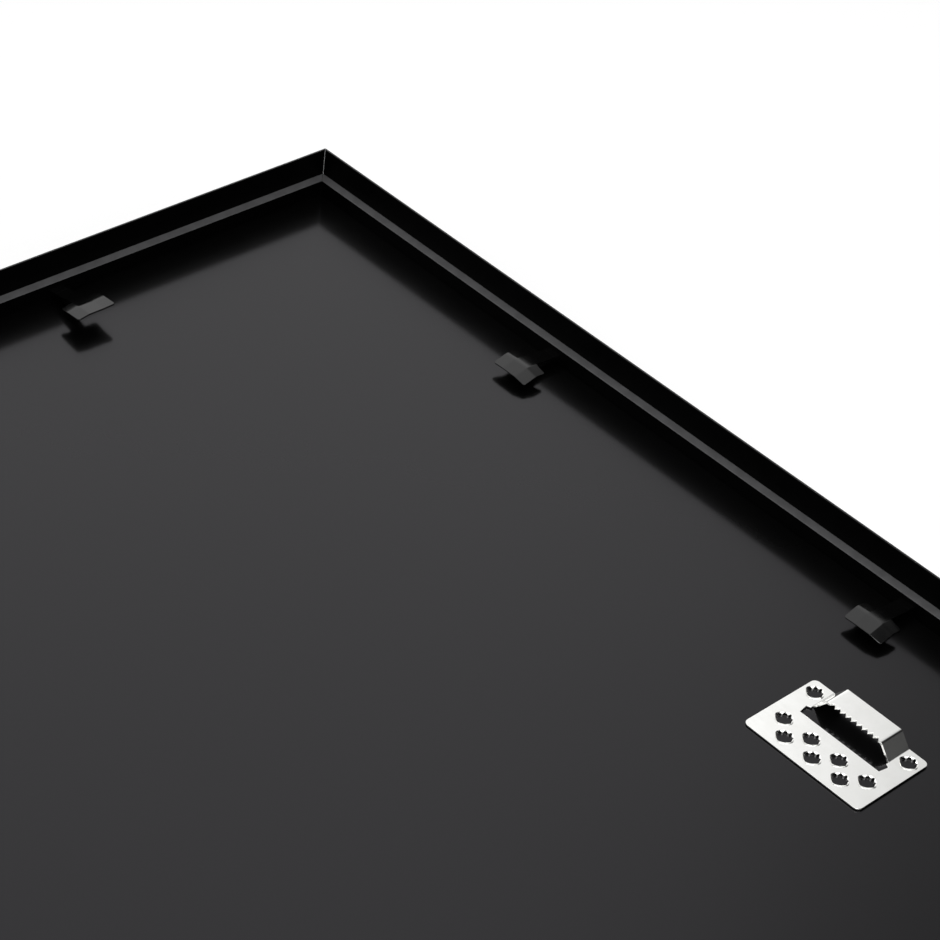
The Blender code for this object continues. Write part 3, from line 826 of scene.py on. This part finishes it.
def bar_mesh(name):
    """The raised bar: a sheet along its profile, with teeth in its lower edge, cut at a slant."""
    profile = bar_profile()
    first = -TOOTH_COUNT * TOOTH_PITCH / 2
    top = profile[len(profile) // 2 - 1].z
    columns = [(point, 0.0) for point in profile if point.x < first]
    for half in range(2 * TOOTH_COUNT + 1):
        point = Vector((first + half * TOOTH_PITCH / 2, 0, top))
        columns.append((point, half % 2 * TOOTH_DEPTH))
    columns += [(point, 0.0) for point in profile if point.x > -first]

    middle = [point for point, _ in columns]
    shape = bmesh.new()
    rings = []
    for index, (point, depth) in enumerate(columns):
        ahead = heading(middle, index)
        rise = Vector((-ahead.z, 0, ahead.x)) * PLATE_SHEET / 2
        front = depth - BAR_WIDTH
        row = BAR_ROW * front
        ring = [point + rise + Vector((0, y, 0)) for y in (0.0, row, front)]
        ring += [point - rise + Vector((0, y, 0)) for y in (front - TOOTH_SLANT, row, 0.0)]
        rings.append([shape.verts.new(corner) for corner in ring])
    close_rings(shape, rings)
    sharp = math.radians(BAR_EDGE_ANGLE)
    edges = [edge for edge in shape.edges if edge.calc_face_angle() > sharp]
    bmesh.ops.bevel(shape, geom=edges, offset=BAR_EDGE, segments=2, affect="EDGES")
    return written(shape, bpy.data.meshes.new(name))


def prong_profile():
    """A prong's surface from the plate's top down: (inset, height, half width) in a side view.

    The inset is from the hole's rim, and the half width is a share of the prong's sector.
    """
    rows = []
    kink = math.radians(PRONG_KINK)
    slope = math.radians(PRONG_SLOPE)
    for step, width in enumerate(PRONG_WIDTHS):
        turn = kink + (slope - kink) * step / (len(PRONG_WIDTHS) - 1)
        inset = PRONG_BEND * (math.sin(turn) - math.sin(kink))
        height = PLATE_SHEET - PRONG_BEND * (math.cos(kink) - math.cos(turn))
        rows.append((inset, height, width))
    inset, low, width = rows[-1]
    fall = low + PRONG_DEPTH
    for share in PRONG_FALLS:
        narrowed = PRONG_TIP_WIDTH + (width - PRONG_TIP_WIDTH) * (1 - share)
        rows.append((inset + fall * share / math.tan(slope), low - fall * share, narrowed))
    return rows


def claw_mesh(name):
    """The claws: at each hole the plate is bent down into a ring of prongs that bite the board."""
    rows = prong_profile()
    sector = math.pi / PRONG_COUNT
    shape = bmesh.new()
    for x, y in claw_places():
        for prong in range(PRONG_COUNT):
            middle = math.radians(PRONG_TURN) + sector * 2 * prong
            grid = []
            for inset, height, width in rows:
                turns = [middle + sector * width * share for share in PRONG_COLUMNS]
                spokes = [(claw_rim(turn) - inset, turn) for turn in turns]
                grid.append([
                    shape.verts.new((x + far * math.cos(turn), y + far * math.sin(turn), height))
                    for far, turn in spokes
                ])
            for one, two in zip(grid, grid[1:]):
                for column in range(len(PRONG_COLUMNS) - 1):
                    after = column + 1
                    shape.faces.new((one[column], two[column], two[after], one[after]))
    bmesh.ops.remove_doubles(shape, verts=shape.verts, dist=WELD)
    guide = new_object(name, written(shape, bpy.data.meshes.new(name)))
    sheet = guide.modifiers.new("Sheet", "SOLIDIFY")
    sheet.thickness = PRONG_SHEET
    sheet.offset = -1.0
    return settled(guide)


def build_hanger():
    """The plate, its raised bar and its claws."""
    place = Matrix.Translation((0.0, PLATE_TOP_Y, PLATE_Z))
    loops = [plate_outline()] + [claw_hole(x, y) for x, y in claw_places()]
    mesh = outline_mesh("hanger_plate", loops, PLATE_SHEET, PLATE_EDGE)
    plate = new_object("hanger_plate", mesh, NICKEL)
    plate.matrix_world = place @ Matrix.Translation((0.0, 0.0, PLATE_SHEET / 2))
    bar = new_object("hanger_bar", bar_mesh("hanger_bar"), NICKEL)
    claws = new_object("hanger_claws", claw_mesh("hanger_claws"), NICKEL)
    for piece in (bar, claws):
        piece.matrix_world = place
        finish_piece(piece, "root", "bright_steel")
    finish_piece(plate, "root", "bright_steel", "sawtooth_hanger", sharp=PLATE_SHARP_ANGLE)


# Studio


def build_floor():
    """A pale floor that reads white and keeps the shadow.

    Seen from below it isn't there, and it is open under the frame, so that light reaches the glass.
    """
    mesh = bpy.data.meshes.new("floor")
    signs = ((-1, -1), (1, -1), (1, 1), (-1, 1))
    inner_x = HALF_WIDTH - FLOOR_LAP
    inner_y = HALF_HEIGHT - FLOOR_LAP
    far = [(x * FLOOR_REACH, y * FLOOR_REACH, 0) for x, y in signs]
    near = [(x * inner_x, y * inner_y, 0) for x, y in signs]
    sides = [(n, (n + 1) % 4, 4 + (n + 1) % 4, 4 + n) for n in range(4)]
    mesh.from_pydata(far + near, [], sides)
    floor = Shader("floor_white", grey(0.80), 0.9, Specular_IOR_Level=0.0)
    rays = floor.node("ShaderNodeLightPath")
    strength = floor.node("ShaderNodeMath", operation="MULTIPLY")
    strength.inputs[1].default_value = FLOOR_GLOW
    floor.link(rays.outputs["Is Camera Ray"], strength.inputs[0])
    glow = floor.node("ShaderNodeEmission")
    floor.link(strength.outputs["Value"], glow.inputs["Strength"])
    both = floor.node("ShaderNodeAddShader")
    floor.link(floor.main.outputs["BSDF"], both.inputs[0])
    floor.link(glow.outputs["Emission"], both.inputs[1])
    clear = floor.node("ShaderNodeBsdfTransparent")
    sided = floor.node("ShaderNodeMixShader")
    floor.link(floor.node("ShaderNodeNewGeometry").outputs["Backfacing"], sided.inputs["Fac"])
    floor.link(both.outputs["Shader"], sided.inputs[1])
    floor.link(clear.outputs["BSDF"], sided.inputs[2])
    floor.link(sided.outputs["Shader"], floor.tree.nodes["Material Output"].inputs["Surface"])
    new_object("floor", mesh, floor.material)


def build_world():
    """A white room: full white to the eye, dimmer as light, and to gloss with one dark side."""
    world = bpy.data.worlds.new("room")
    bpy.context.scene.world = world
    world.use_nodes = True
    tree = world.node_tree
    tree.nodes.clear()
    link = tree.links.new

    def math_node(operation, *values):
        made = tree.nodes.new("ShaderNodeMath")
        made.operation = operation
        for socket, value in zip(made.inputs, values):
            if hasattr(value, "is_linked"):
                link(value, socket)
            else:
                socket.default_value = value
        return made.outputs["Value"]

    def flat_background(strength):
        made = tree.nodes.new("ShaderNodeBackground")
        made.inputs["Color"].default_value = (1.0, 1.0, 1.0, 1.0)
        made.inputs["Strength"].default_value = strength
        return made

    def mixed(share, low, high):
        made = tree.nodes.new("ShaderNodeMixShader")
        link(share, made.inputs["Fac"])
        link(low, made.inputs[1])
        link(high, made.inputs[2])
        return made.outputs["Shader"]

    def levels(source, stops):
        """Greys along a value from -1 to 1."""
        made = tree.nodes.new("ShaderNodeValToRGB")
        ramp = made.color_ramp
        while len(ramp.elements) < len(stops):
            ramp.elements.new(0.5)
        for element, (where, level) in zip(ramp.elements, stops):
            element.position = (1 + where) / 2
            element.color = (*grey(level), 1.0)
        link(math_node("MULTIPLY_ADD", source, 0.5, 0.5), made.inputs["Fac"])
        return made.outputs["Color"]

    split = tree.nodes.new("ShaderNodeSeparateXYZ")
    link(tree.nodes.new("ShaderNodeTexCoord").outputs["Generated"], split.inputs["Vector"])
    x, y, z = split.outputs
    squares = math_node("ADD", math_node("MULTIPLY", x, x), math_node("MULTIPLY", y, y))
    dark = math.radians(ROOM_DARK_TURN)
    toward_x = math_node("MULTIPLY", x, math.cos(dark))
    toward_dark = math_node("MULTIPLY_ADD", y, math.sin(dark), toward_x)
    turn = math_node("DIVIDE", toward_dark, math_node("SQRT", squares))
    room = flat_background(ROOM_LEVEL)
    tone = math_node("MULTIPLY", levels(turn, ROOM_BY_TURN), levels(z, ROOM_BY_HEIGHT))
    link(tone, room.inputs["Color"])

    eye = flat_background(1.0)
    lamp = flat_background(ROOM_LIGHT)
    rays = tree.nodes.new("ShaderNodeLightPath").outputs
    seen = math_node("MAXIMUM", rays["Is Camera Ray"], rays["Is Transmission Ray"])
    unseen = mixed(rays["Is Glossy Ray"], lamp.outputs["Background"], room.outputs["Background"])
    surface = mixed(seen, unseen, eye.outputs["Background"])
    link(surface, tree.nodes.new("ShaderNodeOutputWorld").inputs["Surface"])


def build_light():
    """One large soft lamp above, away from what the board mirrors to the camera."""
    light = bpy.data.lights.new("soft_lamp", "AREA")
    light.shape = "DISK"
    light.size = LAMP_SIZE
    light.energy = LAMP_POWER
    turn = (-LAMP_PLACE).to_track_quat("-Z", "Y").to_matrix().to_4x4()
    new_object("soft_lamp", light).matrix_world = Matrix.Translation(LAMP_PLACE) @ turn


def build_camera():
    """The photograph's view of the corner and the hanger."""
    lens = bpy.data.cameras.new("camera")
    lens.sensor_width = CAMERA_SENSOR
    lens.lens = CAMERA_LENS
    lens.clip_start = CAMERA_NEAR
    camera = new_object("camera", lens)
    view = CAMERA_VIEW.normalized()
    right = (CAMERA_RIGHT - CAMERA_RIGHT.dot(view) * view).normalized()
    up = right.cross(view)
    turn = Matrix((right, up, -view)).transposed().to_4x4()
    camera.matrix_world = Matrix.Translation(CAMERA_PLACE) @ turn
    bpy.context.scene.camera = camera


build_camera()
build_rails()
build_stack()
build_hanger()
for joint in frame["joints"]:
    build_tab(joint)
build_floor()
build_world()
build_light()
bpy.context.scene.view_settings.view_transform = "Standard"
